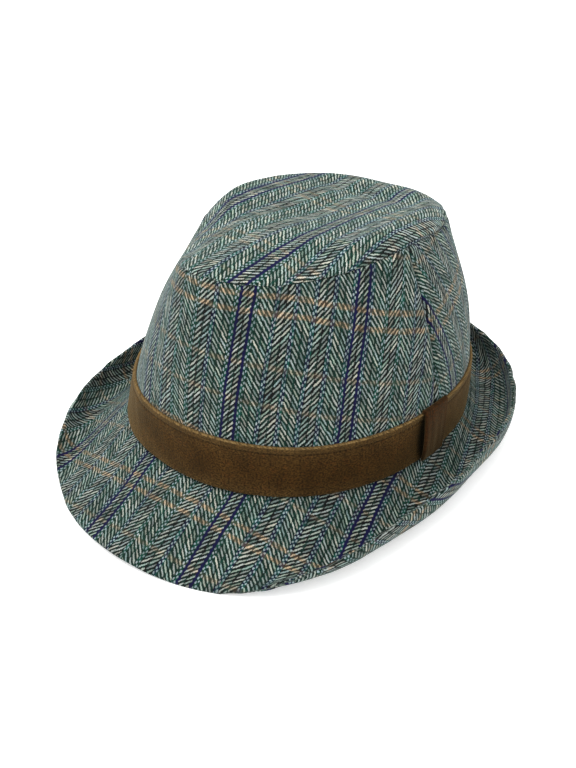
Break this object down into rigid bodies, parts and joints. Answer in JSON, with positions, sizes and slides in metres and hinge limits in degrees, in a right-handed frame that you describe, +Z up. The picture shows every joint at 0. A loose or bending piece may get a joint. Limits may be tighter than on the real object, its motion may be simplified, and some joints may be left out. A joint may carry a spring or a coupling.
{
  "type": "trilby hat",
  "caption": "Soft woven trilby: tapered crown with a low rolled rim and pinched front, brim down at the front and rolled up at the sides and back, plain hatband with a keeper.",
  "frame": {"origin": "on the table under the middle of the hat's bounding box", "axes": "+Z up, the front of the hat faces -Y, its left side with the keeper is +X"},
  "size_m": [0.2332, 0.274, 0.1285],
  "materials": {
    "tweed": "matte woven herringbone",
    "band_cloth": "matte brushed cloth"
  },
  "bodies": {
    "root": {"crown_front": "tweed", "crown_back": "tweed", "crown_tip": "tweed", "brim": "tweed", "hatband": "band_cloth", "band_tab": "band_cloth"}
  },
  "joints": []
}
